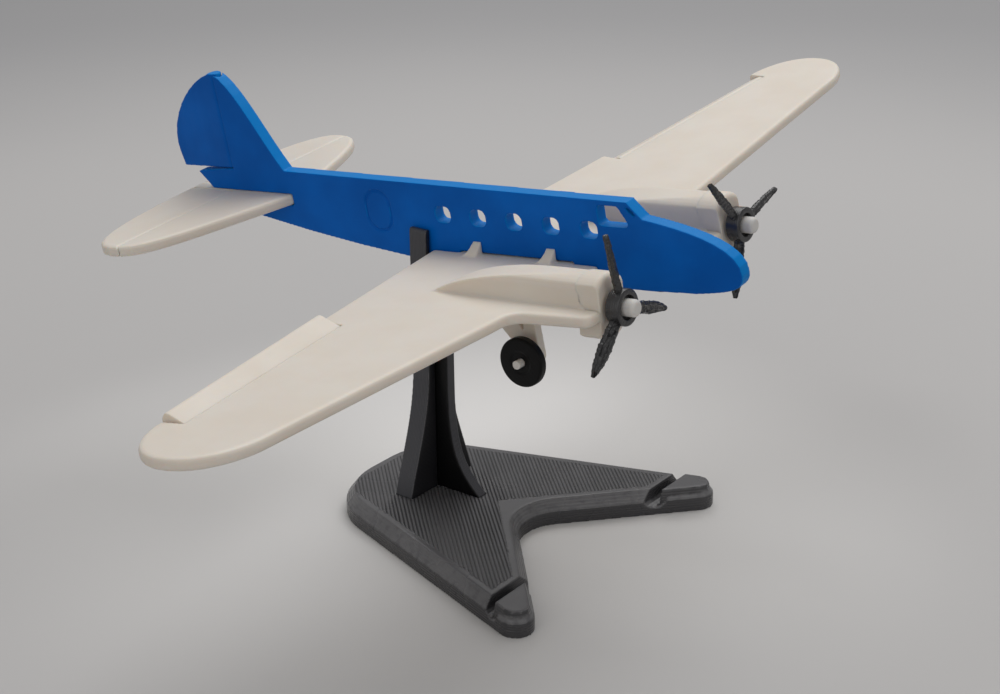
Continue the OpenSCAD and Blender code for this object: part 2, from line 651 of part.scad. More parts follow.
brace_back = post_front - groove_d + fit_gap;
brace_outline = concat([[brace_back, seat_z0], [brace_back, brace_top], [brace_head, brace_top]],
    curve([[brace_head, 16], [brace_head, 9], [brace_head + 0.5, 6], [brace_foot, base_h]]),
    [[brace_foot, base_h], [brace_foot, seat_z0]]);
module stand_brace() color(black) along(brace_t) polygon(brace_outline);

arm_tip_x = (base_hw + crotch_x * tan(arm_in)) / (tan(arm_in) - tan(arm_out));
arm_tip_y = base_hw + arm_tip_x * tan(arm_out);
rear_y = base_hw - base_rear * tan(arm_out);
base_corners = [[-base_rear, -rear_y], [arm_tip_x, -arm_tip_y], [crotch_x, 0], [arm_tip_x, arm_tip_y],
    [-base_rear, rear_y]];
rear_r = 9;
tip_r = 1.95;
crotch_r = 5.1;
base_ring = rounded(base_corners, [rear_r, tip_r, crotch_r, tip_r, rear_r], 10);
module stand_base() color(charcoal) difference() {
    loft([at_z(base_ring, 0), at_z(base_ring, base_h - bevel_h), at_z(inset(base_ring, bevel_w), base_h)]);
    // seats of the post and the brace
    translate([post_back - fit_gap, -foot_hw - fit_gap, seat_z0])
        cube([post_t + 2 * fit_gap, 2 * (foot_hw + fit_gap), base_h]);
    translate([0, -brace_t / 2 - fit_gap, seat_z0]) cube([brace_foot + fit_gap, brace_t + 2 * fit_gap, base_h]);
    // round-bottomed trough across both arms
    translate([trough_x, 0, trough_floor + trough_w / 2]) rotate([90, 0, 0])
        cylinder(h = 3 * arm_tip_y, r = trough_w / 2, center = true);
    translate([trough_x - trough_w / 2, -arm_tip_y, trough_floor + trough_w / 2])
        cube([trough_w, 2 * arm_tip_y, base_h]);
}

fuselage_plate();
rudder();
wing_starboard();
wing_port();
aileron_starboard();
aileron_port();
tailplane();
elevator_starboard();
elevator_port();
engine_cowl_starboard();
engine_cowl_port();
propeller_pin_starboard();
propeller_pin_port();
propeller_starboard();
propeller_port();
gear_leg_starboard();
gear_leg_port();
axle_starboard();
axle_port();
wheel_starboard();
wheel_port();
stand_post();
stand_brace();
stand_base();
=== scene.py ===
"""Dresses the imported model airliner: printed plates, propellers, wheels and a fork stand.

Blender's frame is the stand's own: X forward, Y to port, Z up, the desk at Z = 0, in metres. Sizes
in this file are in millimetres and angles in degrees, unless a comment says otherwise.
"""

from __future__ import annotations

import logging
import math
from collections.abc import Sequence
from dataclasses import dataclass, replace
from enum import Enum

import bmesh
import bpy
import numpy as np
from bpy.types import ID, Material, Mesh, Node, NodeSocket as Socket, NodeTree, Object
from mathutils import Matrix, Vector


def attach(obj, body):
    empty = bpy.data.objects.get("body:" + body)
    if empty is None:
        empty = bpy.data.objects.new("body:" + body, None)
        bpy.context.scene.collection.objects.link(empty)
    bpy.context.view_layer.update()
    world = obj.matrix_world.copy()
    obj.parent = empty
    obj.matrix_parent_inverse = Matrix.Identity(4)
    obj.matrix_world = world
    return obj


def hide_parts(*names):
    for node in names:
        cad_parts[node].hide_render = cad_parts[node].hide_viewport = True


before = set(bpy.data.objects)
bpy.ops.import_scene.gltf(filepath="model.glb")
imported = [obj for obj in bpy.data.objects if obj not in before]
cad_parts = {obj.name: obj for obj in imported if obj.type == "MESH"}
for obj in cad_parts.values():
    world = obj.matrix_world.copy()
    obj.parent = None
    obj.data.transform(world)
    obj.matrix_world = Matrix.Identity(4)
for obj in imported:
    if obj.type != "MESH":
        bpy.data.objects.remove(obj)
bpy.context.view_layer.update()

LOG = logging.getLogger("airliner")

# A closed shell: its points, n by 3 in millimetres, and its faces
Shell = tuple[np.ndarray, list[list[int]]]
Triple = tuple[float, float, float]
Pair = tuple[float, float]

MM = 0.001
# Distance within which two points are one, in metres
SAME_POINT = 1e-8
# Angle from which an edge between two faces stays sharp
SHARP = 50
# How much large faces count for the normals of the corners that they share, out of 100
LARGE_FACES = 100
# Attributes of a piece's mesh: each point's place in its print, in millimetres, and each face's lie
PRINT_AT = "print_mm"
PRINT_LIE = "print_lie"


class Side(Enum):
    """Which wing a piece is on, as the sign of its place along Y."""

    STARBOARD = -1
    PORT = 1

    @property
    def word(self) -> str:
        """The side's name as the CAD nodes have it."""
        return self.name.lower()


class Stack(Enum):
    """Order of a part's axes that puts the one its printed layers are stacked along last."""

    UP = (0, 1, 2)
    SIDEWAYS = (0, 2, 1)
    FORWARD = (1, 2, 0)


def turned(axis: str, angle: float) -> Matrix:
    """A turn about an axis of its frame."""
    return Matrix.Rotation(math.radians(angle), 4, axis)


@dataclass(frozen=True)
class Attitude:
    """How the model stands in its fork, with the values of the part's own source.

    The model's frame lies seat_x ahead of the fork's seat and seat_z above it.
    """

    nose_up: float = 6.9
    lean: float = 5.3
    pivot_z: float = 31.8
    seat_x: float = 13.0
    seat_z: float = 3.7
    wing_z: float = -4.0
    dihedral: float = 4.8

    def model(self) -> Matrix:
        """The model's own frame: lean about X, then nose up about Y, then up to the fork.

        Returns:
            The frame, in millimetres in the stand's.
        """
        seat = Matrix.Translation((0, 0, self.pivot_z))
        turn = turned("Y", -self.nose_up) @ turned("X", self.lean)
        return seat @ turn @ Matrix.Translation((self.seat_x, 0, self.seat_z))

    def wing(self, side: Side) -> Matrix:
        """A wing half's frame: mirrored for starboard, at the wing's height and dihedral.

        Args:
            side: Which wing.

        Returns:
            The frame, in millimetres in the stand's.
        """
        mirror = Matrix.Diagonal((1, side.value, 1, 1))
        drop = Matrix.Translation((0, 0, self.wing_z))
        return self.model() @ mirror @ drop @ turned("X", self.dihedral)


ATTITUDE = Attitude()


def moved(points: np.ndarray, place: Matrix) -> np.ndarray:
    """Points carried by a matrix.

    Args:
        points: n by 3, in millimetres.
        place: The frame that the points are given in.

    Returns:
        The points in the stand's frame, n by 3, in millimetres.
    """
    m = np.array(place)
    return points @ m[:3, :3].T + m[:3, 3]


class Tree:
    """A node tree with short calls for its nodes and links."""

    def __init__(self, tree: NodeTree) -> None:
        """Takes the tree that the nodes go into."""
        self.tree = tree

    def put(self, socket: Socket, value: object) -> None:
        """Links or sets a socket.

        Args:
            socket: An input socket.
            value: The socket that it is linked to, or else its own value.
        """
        if isinstance(value, Socket):
            self.tree.links.new(value, socket)
        else:
            socket.default_value = value

    def node(
        self, kind: str, inputs: dict[str | int, object] | None = None, **options: object
    ) -> Node:
        """Adds a node.

        Args:
            kind: Its type without the ShaderNode prefix.
            inputs: Values or sockets by the input's name or place.
            options: The node's own settings.

        Returns:
            The node.
        """
        made = self.tree.nodes.new("ShaderNode" + kind)
        for name, value in options.items():
            setattr(made, name, value)
        for key, value in (inputs or {}).items():
            self.put(made.inputs[key], value)
        return made

    def at(self) -> Socket:
        """The place in the print, from the piece's own attribute."""
        return self.node("Attribute", attribute_name=PRINT_AT).outputs["Vector"]

    def lie(self) -> Socket:
        """How flat a face lay in the print, from its own attribute."""
        return self.node("Attribute", attribute_name=PRINT_LIE).outputs["Fac"]

    def group(self, group: NodeTree, **values: float) -> Node:
        """Places a shared group with its own values for the inputs."""
        return self.node("Group", values, node_tree=group)

    def math(self, operation: str, *values: object) -> Socket:
        """The result of a Math node of that operation on the values."""
        return self.node("Math", dict(enumerate(values)), operation=operation).outputs[0]

    def mix(self, share: object, a: object, b: object) -> Socket:
        """The colour that goes from a to b with share."""
        return self.node("Mix", {0: share, 6: a, 7: b}, data_type="RGBA").outputs[2]

    def noise(self, at: object, scale: object, detail: float = 3.0) -> Socket:
        """Noise from 0 to 1 at that vector."""
        return self.node("TexNoise", {"Vector": at, "Scale": scale, "Detail": detail}).outputs[0]

    def ramp(self, value: object, span: Pair) -> Socket:
        """0 up to the span's start and 1 from its end, eased between them."""
        inputs = {0: value, 1: span[0], 2: span[1]}
        return self.node("MapRange", inputs, interpolation_type="SMOOTHSTEP").outputs[0]


@dataclass
class Effects:
    """Shader node groups that the finishes share.

    Lengths are in millimetres. A face's lie goes from 0, upright in the print, to 1, flat. Each
    span is where a ramp starts and ends: flat, steep, upright and edge are lies, broken and tone
    are noise. The drifts are noise scales, and the odds how much one ridge differs from another.
    """

    flat: Pair = (0.88, 0.93)
    steep: Pair = (0.85, 0.93)
    upright: Pair = (0.35, 0.65)
    edge: Pair = (0.0, 0.15)
    broken: Pair = (0.3, 0.55)
    tone: Pair = (0.3, 0.7)
    layer_drift: float = 0.9
    layer_odds: float = 0.5
    track_drift: float = 0.5
    track_odds: float = 0.6
    groove_power: float = 2.0
    lumps: float = 5.0
    lump_share: float = 2.0

    def __post_init__(self) -> None:
        """Builds each group once."""
        self.layers = self._layers()
        self.tracks = self._tracks()
        self.grain = self._grain()
        self.edges = self._edges()
        self.specks = self._specks()

    @staticmethod
    def _group(
        name: str, takes: dict[str, float], *gives: str
    ) -> tuple[Tree, dict[str, Socket], Node]:
        """An empty group.

        Args:
            name: The group's name.
            takes: Its inputs, with their usual values.
            gives: Its outputs.

        Returns:
            The tree, its input sockets by name, and its output node.
        """
        made = bpy.data.node_groups.new(name, "ShaderNodeTree")
        for key, value in takes.items():
            socket = made.interface.new_socket(key, in_out="INPUT", socket_type="NodeSocketFloat")
            socket.default_value = value
        for key in gives:
            made.interface.new_socket(key, in_out="OUTPUT", socket_type="NodeSocketFloat")
        source = made.nodes.new("NodeGroupInput")
        inputs = {socket.name: socket for socket in source.outputs if socket.name}
        return Tree(made), inputs, made.nodes.new("NodeGroupOutput")

    @staticmethod
    def _ridges(
        tree: Tree, length: Socket, drift: Socket, spacing: Socket, odds: float
    ) -> tuple[Socket, Socket]:
        """Even ridges side by side: |sin(pi n)|, where n is the length with its drift over the spacing.

        Args:
            tree: The group's tree.
            length: The place across the ridges.
            drift: How far they stray there.
            spacing: From one ridge to the next.
            odds: Share by which the ridges' heights differ.

        Returns:
            The ridges' height, 0 to 1, and each ridge's own share of it, round about 1.
        """
        turns = tree.math("DIVIDE", tree.math("ADD", length, drift), spacing)
        ridge = tree.math("ABSOLUTE", tree.math("SINE", tree.math("MULTIPLY", turns, math.pi)))
        which = {"W": tree.math("FLOOR", turns)}
        odd = tree.node("TexWhiteNoise", which, noise_dimensions="1D").outputs[0]
        return ridge, tree.math("MULTIPLY_ADD", odd, odds, 1 - odds / 2)

    def _layers(self) -> NodeTree:
        """Ridges of the stacked layers, across the height in the print.

        Returns:
            The group.
        """
        usual = {"Layer": 0.2, "Depth": 0.01, "Wander": 0.03}
        tree, takes, out = self._group("Layer ridges", usual, "Height")
        at = tree.at()
        z = tree.node("SeparateXYZ", {0: at}).outputs["Z"]
        drift = tree.math("MULTIPLY", tree.noise(at, self.layer_drift), takes["Wander"])
        ridge, share = self._ridges(tree, z, drift, takes["Layer"], self.layer_odds)
        height = tree.math("MULTIPLY", tree.math("MULTIPLY", ridge, takes["Depth"]), share)
        tree.put(out.inputs["Height"], height)
        return tree.tree

    def _tracks(self) -> NodeTree:
        """Tracks of the nozzle on flat faces: ridges across x cos(angle) + y sin(angle).

        Returns:
            The group.
        """
        usual = {"Pitch": 0.42, "Angle": 0.8, "Depth": 0.02, "Wander": 0.05, "Where": 1.0}
        tree, takes, out = self._group("Nozzle tracks", usual, "Height", "Groove")
        at = tree.at()
        parts = tree.node("SeparateXYZ", {0: at})
        x = tree.math("MULTIPLY", parts.outputs[0], tree.math("COSINE", takes["Angle"]))
        y = tree.math("MULTIPLY", parts.outputs[1], tree.math("SINE", takes["Angle"]))
        drift = tree.math("MULTIPLY", tree.noise(at, self.track_drift), takes["Wander"])
        across = tree.math("ADD", x, y)
        ridge, share = self._ridges(tree, across, drift, takes["Pitch"], self.track_odds)
        flat = tree.math("MULTIPLY", tree.ramp(tree.lie(), self.flat), takes["Where"])
        # The groove mask: where painted shade goes, in the hollows between the tracks
        low = tree.math("POWER", tree.math("SUBTRACT", 1.0, ridge), self.groove_power)
        ridge = tree.math("MULTIPLY", tree.math("MULTIPLY", ridge, share), flat)
        tree.put(out.inputs["Height"], tree.math("MULTIPLY", ridge, takes["Depth"]))
        tree.put(out.inputs["Groove"], tree.math("MULTIPLY", low, flat))
        return tree.tree

    def _grain(self) -> NodeTree:
        """Unevenness of the plastic: a slow change of tone, slow lumps and a fine grain, all of noise.

        Returns:
            The group.
        """
        usual = {"Cloud": 0.12, "Fine": 6.0, "Depth": 0.004}
        tree, takes, out = self._group("Plastic grain", usual, "Tone", "Height")
        at = tree.at()
        tone = tree.ramp(tree.noise(at, takes["Cloud"], detail=4.0), self.tone)
        fine = tree.noise(at, takes["Fine"], detail=4.0)
        slow = tree.noise(at, tree.math("MULTIPLY", takes["Cloud"], self.lumps), detail=2.0)
        bump = tree.math("MULTIPLY_ADD", slow, self.lump_share, fine)
        tree.put(out.inputs["Tone"], tone)
        tree.put(out.inputs["Height"], tree.math("MULTIPLY", bump, takes["Depth"]))
        return tree.tree

    def _edges(self) -> NodeTree:
        """The upright faces, and the rounded edges beside them, broken up by noise, as masks for
        painted light on those faces and painted highlights on those edges.

        Returns:
            The group.
        """
        usual = {"Upright": 0.2, "Break": 1.1}
        tree, takes, out = self._group("Faces and edges", usual, "Upright", "Edge")
        lie = tree.lie()
        steep = tree.math("SUBTRACT", 1.0, tree.ramp(lie, self.steep))
        past = tree.math("SUBTRACT", lie, takes["Upright"])
        edge = tree.math("MULTIPLY", steep, tree.ramp(past, self.edge))
        broken = tree.ramp(tree.noise(tree.at(), takes["Break"]), self.broken)
        upright = tree.math("SUBTRACT", 1.0, tree.ramp(lie, self.upright))
        tree.put(out.inputs["Upright"], upright)
        tree.put(out.inputs["Edge"], tree.math("MULTIPLY", edge, broken))
        return tree.tree

    def _specks(self) -> NodeTree:
        """Rare spots: the middles of a few cells, each cell chosen by its own random number. They are
        real specks in some plastics and painted glints in others.

        Returns:
            The group.
        """
        usual = {"Cells": 0.3, "Radius": 0.05, "Share": 0.1}
        tree, takes, out = self._group("Specks", usual, "Mask")
        cells = tree.node("TexVoronoi", {"Vector": tree.at(), "Scale": takes["Cells"]})
        near = tree.math("LESS_THAN", cells.outputs["Distance"], takes["Radius"])
        chance = tree.node("SeparateXYZ", {0: cells.outputs["Color"]}).outputs[0]
        kept = tree.math("LESS_THAN", chance, takes["Share"])
        tree.put(out.inputs["Mask"], tree.math("MULTIPLY", near, kept))
        return tree.tree


EFFECTS = Effects()


def linear(colour: Triple) -> tuple[float, float, float, float]:
    """The light that a colour gives back, by the usual curve of screens.

    Up to 0.04045 the light is the tone over 12.92, and above it ((tone + 0.055) / 1.055) to 2.4.

    Args:
        colour: The colour as it looks, each tone from 0 to 255.

    Returns:
        Red, green and blue from 0 to 1, and full opacity.
    """
    tone = np.asarray(colour) / 255
    light = np.where(tone <= 0.04045, tone / 12.92, ((tone + 0.055) / 1.055) ** 2.4)
    return (*(float(value) for value in light), 1.0)


@dataclass(frozen=True)
class PrintedPlastic:
    """A printed plastic and how its surface came off the printer.

    Colours are as they look, 0 to 255, and lengths are in millimetres. Clouds take the colour to
    shade. The groove colour is painted shade in the hollows between the nozzle's tracks. The rim
    colour, on the faces that stood upright in the print, is painted light: a highlight where it is
    lighter, shade where it is darker. The edge colour is a painted highlight on the rounded edges,
    and the speck colour marks rare spots: real specks in some plastics, painted glints in others.
    waxy is how much light goes into the plastic, and wax_depth how far its red, green and blue go.
    """

    name: str
    colour: Triple
    shade: Triple
    slot: str
    roughness: float = 0.45
    rough_spread: float = 0.1
    # Painted highlight on the rounded edges, and how strongly it shows
    edge_highlight: Triple | None = None
    edge_highlight_share: float = 0.3
    layer: float = 0.2
    layer_depth: float = 0.012
    track_angle: float = 45.0
    track_pitch: float = 0.42
    track_depth: float = 0.004
    grain_depth: float = 0.003
    # Rare spots: real specks in some plastics, painted glints in others
    speck_and_glint: Triple | None = None
    speck_and_glint_share: float = 0.0
    waxy: float = 0.0
    wax_depth: Triple = (1.2, 0.8, 0.5)
    gloss: float = 0.5
    ior: float = 1.46
    # Painted shade in the hollows between the nozzle's tracks
    groove: Triple | None = None
    # Painted light on the faces that stood upright: lighter as a highlight, darker as shade
    rim: Triple | None = None

    def tracks(self, tree: Tree) -> Node:
        """The nozzle's tracks on the flat faces."""
        angle = math.radians(self.track_angle)
        return tree.group(
            EFFECTS.tracks, Pitch=self.track_pitch, Angle=angle, Depth=self.track_depth
        )

    def material(self) -> Material:
        """The finish as a material, built at its first use.

        Returns:
            The material of this finish's name.
        """
        found = bpy.data.materials.get(self.name)
        if found:
            return found
        made = bpy.data.materials.new(self.name)
        made.use_nodes = True
        made.node_tree.nodes.clear()
        tree = Tree(made.node_tree)
        layers = tree.group(EFFECTS.layers, Layer=self.layer, Depth=self.layer_depth)
        tracks = self.tracks(tree)
        grain = tree.group(EFFECTS.grain, Depth=self.grain_depth)
        colour = tree.mix(grain.outputs["Tone"], linear(self.colour), linear(self.shade))
        faces = tree.group(EFFECTS.edges)
        # Painted light on the upright faces, a highlight or a shade by the finish's rim colour
        if self.rim:
            colour = tree.mix(faces.outputs["Upright"], colour, linear(self.rim))
        # Painted shade in the hollows between the nozzle's tracks
        if self.groove:
            colour = tree.mix(tracks.outputs["Groove"], colour, linear(self.groove))
        # Painted highlight on the rounded edges, broken up by noise
        if self.edge_highlight:
            share = tree.math("MULTIPLY", faces.outputs["Edge"], self.edge_highlight_share)
            colour = tree.mix(share, colour, linear(self.edge_highlight))
        # Rare spots: real specks on the blue and cream plates, painted glints on the propeller
        if self.speck_and_glint:
            specks = tree.group(EFFECTS.specks, Share=self.speck_and_glint_share)
            colour = tree.mix(specks.outputs["Mask"], colour, linear(self.speck_and_glint))
        least = self.roughness - self.rough_spread / 2
        rough = tree.math("MULTIPLY_ADD", grain.outputs["Tone"], self.rough_spread, least)
        ridges = tree.math("ADD", layers.outputs["Height"], tracks.outputs["Height"])
        height = tree.math("ADD", ridges, grain.outputs["Height"])
        bump = tree.node("Bump", {"Height": height, "Distance": MM, "Strength": 1.0})
        inputs = {
            "Base Color": colour,
            "Roughness": rough,
            "Normal": bump.outputs[0],
            "IOR": self.ior,
            "Specular IOR Level": self.gloss,
        }
        if self.waxy:
            inputs |= {
                "Subsurface Weight": self.waxy,
                "Subsurface Radius": self.wax_depth,
                "Subsurface Scale": MM,
            }
        shader = tree.node("BsdfPrincipled", inputs)
        tree.node("OutputMaterial", {"Surface": shader.outputs[0]})
        return made


# Its lighter rim colour is a painted highlight on the plates' top edges and window walls
BLUE = PrintedPlastic(
    "Blue printed plate", (0, 100, 194), (0, 88, 176), "blue_plate", 0.42,
    rim=(0, 124, 203), gloss=0.1, layer_depth=0.01, track_depth=0.0015,
    speck_and_glint=(2, 20, 50), speck_and_glint_share=0.03,
)
CREAM = PrintedPlastic(
    "Cream printed plate", (222, 214, 203), (218, 208, 195), "cream_plate", 0.5,
    layer_depth=0.004, track_depth=0.001, grain_depth=0.002, speck_and_glint=(90, 70, 80),
    speck_and_glint_share=0.008, waxy=0.35,
)
PIN = PrintedPlastic(
    "Light pin", (222, 218, 212), (205, 202, 198), "light_pin", 0.4, layer_depth=0.01, waxy=0.1,
)
# Its light spots are painted glints on the rough blades
PROPELLER = PrintedPlastic(
    "Rough dark propeller", (54, 53, 54), (36, 36, 37), "dark_propeller", 0.24, gloss=0.7,
    layer=0.26, layer_depth=0.014, grain_depth=0.03,
    speck_and_glint=(190, 188, 186), speck_and_glint_share=0.12,
)
WHEEL = PrintedPlastic(
    "Black wheel", (9, 9, 10), (6, 6, 7), "black_wheel", 0.45, layer_depth=0.008, gloss=0.2,
)
# Its lighter rim colour is a painted highlight on the post's side faces, and its edge colour a painted
# highlight on the rounded edges
POST = PrintedPlastic(
    "Black post", (30, 30, 33), (24, 24, 27), "post_black", 0.42, edge_highlight=(120, 118, 120),
    edge_highlight_share=0.4, rim=(66, 66, 70), layer_depth=0.03, track_depth=0.006,
)
# The post's plastic made darker as painted shade, for the brace's side that lies in shade, and less
# glossy
BRACE_IN_PAINTED_SHADE = replace(
    POST, name="Post plastic in painted shade", colour=(6, 6, 7), shade=(5, 5, 6), edge_highlight=(60, 60, 62), gloss=0.25,
)


@dataclass(frozen=True)
class FootShape:
    """The base's outline from above, with the values of the part's own source.

    The outer edges pass the post at half_width and open by out. The inner ones meet at crotch and
    open by inwards. tip is the middle of the port arm's round tip, and the tooth on it starts at
    tooth_rear.
    """

    rear: float = 9.1
    half_width: float = 11.41
    out: float = 18.15
    crotch: float = 11.53
    inwards: float = 47.9
    tip: Pair = (24.66, 17.44)
    tip_r: float = 1.95
    tooth_rear: float = 22.6


FOOT_SHAPE = FootShape()


@dataclass(frozen=True)
class FootPlastic(PrintedPlastic):
    """The base's plastic, whose tracks stop at a smooth border inside the sloped edge, or bevel.

    The tracks come in over the fade, at an edge that noise moves by up to stray.
    """

    bevel: float = 1.0
    border: float = 0.9
    fade: float = 0.25
    stray: float = 0.5
    stray_scale: float = 1.6

    @staticmethod
    def _inside(tree: Tree, x: Socket, y: Socket, start: float, angle: float) -> Socket:
        """How far a place is inside an edge of the base.

        The edge is the line y = start + x tan(angle), so the distance is that line's y less the
        place's own, times cos(angle).

        Args:
            tree: The material's tree.
            x: The place's distance ahead of the post.
            y: Its distance from the middle line.
            start: Where the edge's line passes beside the post.
            angle: How far it opens towards the front.

        Returns:
            The distance, above 0 nearer to the middle line than the edge.
        """
        a = math.radians(angle)
        line = tree.math("MULTIPLY_ADD", x, math.tan(a), start)
        return tree.math("MULTIPLY", tree.math("SUBTRACT", line, y), math.cos(a))

    def tracks(self, tree: Tree) -> Node:
        """The nozzle's tracks inside the border, from the least distance to the outline and the tooth.

        Args:
            tree: The material's tree.

        Returns:
            The node of the tracks' group.
        """
        shape = FOOT_SHAPE
        at = tree.at()
        parts = tree.node("SeparateXYZ", {0: at})
        x, y = parts.outputs[0], tree.math("ABSOLUTE", parts.outputs[1])
        outer = self._inside(tree, x, y, shape.half_width, shape.out)
        crotch_start = -shape.crotch * math.tan(math.radians(shape.inwards))
        inner = self._inside(tree, x, y, crotch_start, shape.inwards)
        near = tree.math("MINIMUM", outer, tree.math("MULTIPLY", inner, -1.0))
        near = tree.math("MINIMUM", near, tree.math("ADD", x, shape.rear))
        near = tree.math("MINIMUM", near, tree.math("SUBTRACT", shape.tooth_rear, x))
        near = tree.math("MULTIPLY_ADD", tree.noise(at, self.stray_scale), self.stray, near)
        edge = self.bevel + self.border
        made = super().tracks(tree)
        tree.put(made.inputs["Where"], tree.ramp(near, (edge, edge + self.fade)))
        return made


# Painted light on the base: the darker rim colour is painted shade on its sides, the groove colour
# painted shade between the tracks, and the edge colour a painted highlight on the bevels
FOOT = FootPlastic(
    "Charcoal base", (98, 97, 99), (86, 85, 87), "base_charcoal", 0.28, edge_highlight=(140, 139, 139),
    edge_highlight_share=0.2, rim=(58, 57, 59), layer=0.3, layer_depth=0.03, track_angle=46.0,
    track_depth=0.12, groove=(22, 21, 24),
)


@dataclass(frozen=True)
class Softness:
    """How a printed part's edges are rounded.

    Attributes:
        voxel: Size of the cells that the shape is rebuilt from, in millimetres.
        passes: Rounds of smoothing; more make rounder edges.
        kept: Share of the triangles that is kept, those of flat faces going first.
        buried: A face across the part's X axis that is pushed into its neighbour, so that no
            rounded edge shows there: its place and the push, in millimetres.
        same_place: How near to that place the face's points are, in millimetres.
    """

    voxel: float
    passes: int
    kept: float = 0.25
    buried: Pair | None = None
    same_place: float = 0.06


def vertex_grid(mesh: Mesh) -> np.ndarray:
    """Reads a mesh's points.

    Args:
        mesh: The mesh.

    Returns:
        The points, n by 3.
    """
    points = np.empty(len(mesh.vertices) * 3, np.float32)
    mesh.vertices.foreach_get("co", points)
    return points.reshape(-1, 3)


def in_scene(name: str, data: ID) -> Object:
    """Makes an object and links it to the scene.

    Args:
        name: Its name.
        data: Its mesh, lamp or camera.

    Returns:
        The object.
    """
    made = bpy.data.objects.new(name, data)
    bpy.context.scene.collection.objects.link(made)
    return made


def print_attributes(mesh: Mesh, place: Matrix, stack: Stack) -> None:
    """Stores where each point was in its print and how flat each face lay in it.

    The place is the point in the part's own frame, with the stacking axis last. A face's lie is
    the cosine of the angle between its normal and that axis, from 0, upright, to 1, flat.

    Args:
        mesh: The mesh, in metres in the stand's frame.
        place: The part's own frame, in millimetres.
        stack: Which axis the layers are stacked along.
    """
    back = place.inverted()
    local = moved(vertex_grid(mesh).astype(float) / MM, back)[:, list(stack.value)]
    stored = mesh.attributes.new(PRINT_AT, "FLOAT_VECTOR", "POINT")
    stored.data.foreach_set("vector", local.astype(np.float32).ravel())
    normals = np.empty(len(mesh.polygons) * 3, np.float32)
    mesh.polygons.foreach_get("normal", normals)
    normals = normals.reshape(-1, 3) @ np.array(back)[:3, :3].T
    lie = np.abs(normals[:, stack.value[2]]).astype(np.float32)
    mesh.attributes.new(PRINT_LIE, "FLOAT", "FACE").data.foreach_set("value", lie)


def finish_piece(piece: Object, node: str, body: str, finish: PrintedPlastic) -> None:
    """Dresses a new piece and puts it in its CAD node's place.

    Args:
        piece: The new object, in the stand's frame.
        node: The CAD node that it stands for.
        body: The body that it moves with.
        finish: Its plastic.
    """
    piece.data.materials.clear()
    piece.data.materials.append(finish.material())
    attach(piece, body)
    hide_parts(node)
    LOG.info("%s: %d faces", piece.name, len(piece.data.polygons))


def bury_face(mesh: Mesh, softness: Softness) -> None:
    """Pushes the face that the softness names along X, into its neighbour.

    Args:
        mesh: The mesh, in the part's own frame, in millimetres.
        softness: Which face it is and how far it goes.
    """
    at, push = softness.buried
    points = vertex_grid(mesh)
    points[np.abs(points[:, 0] - at) < softness.same_place, 0] += push
    mesh.vertices.foreach_set("co", points.ravel())


def add_shells(mesh: Mesh, shells: Sequence[Shell]) -> None:
    """Adds closed shells to a mesh, in the same frame.

    Args:
        mesh: The mesh.
        shells: The shells.
    """
    work = bmesh.new()
    work.from_mesh(mesh)
    for points, faces in shells:
        corners = [work.verts.new(point) for point in points.tolist()]
        for face in faces:
            work.faces.new([corners[k] for k in face])
    work.to_mesh(mesh)
    work.free()


def rebuilt(source: Mesh, name: str, softness: Softness) -> Mesh:
    """A closed mesh rebuilt from small cells, with its edges rounded.

    The cells' surface is smoothed: each point goes halfway to the mean of its neighbours, pass by
    pass, which rounds the edges and leaves flat faces flat. Then its triangles are thinned to a
    share of them, by collapsing edges.

    Args:
        source: The mesh, in millimetres.
        name: The new mesh's name.
        softness: How round the edges are.

    Returns:
        The new mesh, in the same frame.
    """
    rough = in_scene(name + "_cells", source)
    cells = rough.modifiers.new("Cells", "REMESH")
    cells.mode = "VOXEL"
    cells.voxel_size = softness.voxel
    smooth = rough.modifiers.new("Rounded", "SMOOTH")
    smooth.factor = 0.5
    smooth.iterations = softness.passes
    thin = rough.modifiers.new("Fewer faces", "DECIMATE")
    thin.ratio = softness.kept
    made = rough.evaluated_get(bpy.context.evaluated_depsgraph_get())
    mesh = bpy.data.meshes.new_from_object(made)
    mesh.name = name
    bpy.data.objects.remove(rough)
    return mesh


def softened(
    node: str, body: str, finish: PrintedPlastic, place: Matrix, stack: Stack, softness: Softness,
    added: Sequence[Shell] = (),
) -> None:
    """Puts in a CAD node's place a copy whose sharp edges are rounded as a print's are.

    The copy is turned level in the part's own frame and rebuilt there, so that its flat faces
    lie along the cells.

    Args:
        node: The CAD node.
        body: Its body.
        finish: Its plastic.
        place: The part's own frame.
        stack: Which axis its layers are stacked along.
        softness: How round its edges are.
        added: Closed shells in the part's frame that are grown together with the copy.
    """
    mirror = Matrix.Diagonal((1, 1 if place.determinant() > 0 else -1, 1, 1))
    level = Matrix.Scale(MM, 4) @ place @ mirror
    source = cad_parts[node].data.copy()
    source.transform(level.inverted())
    if softness.buried:
        bury_face(source, softness)
    if added:
        add_shells(source, added)
    mesh = rebuilt(source, node + "_soft", softness)
    bpy.data.meshes.remove(source)
    mesh.transform(level)
    mesh.shade_smooth()
    print_attributes(mesh, place, stack)
    piece = in_scene(node + "_soft", mesh)
    normals = piece.modifiers.new("Flat faces stay flat", "WEIGHTED_NORMAL")
    normals.weight = LARGE_FACES
    finish_piece(piece, node, body, finish)


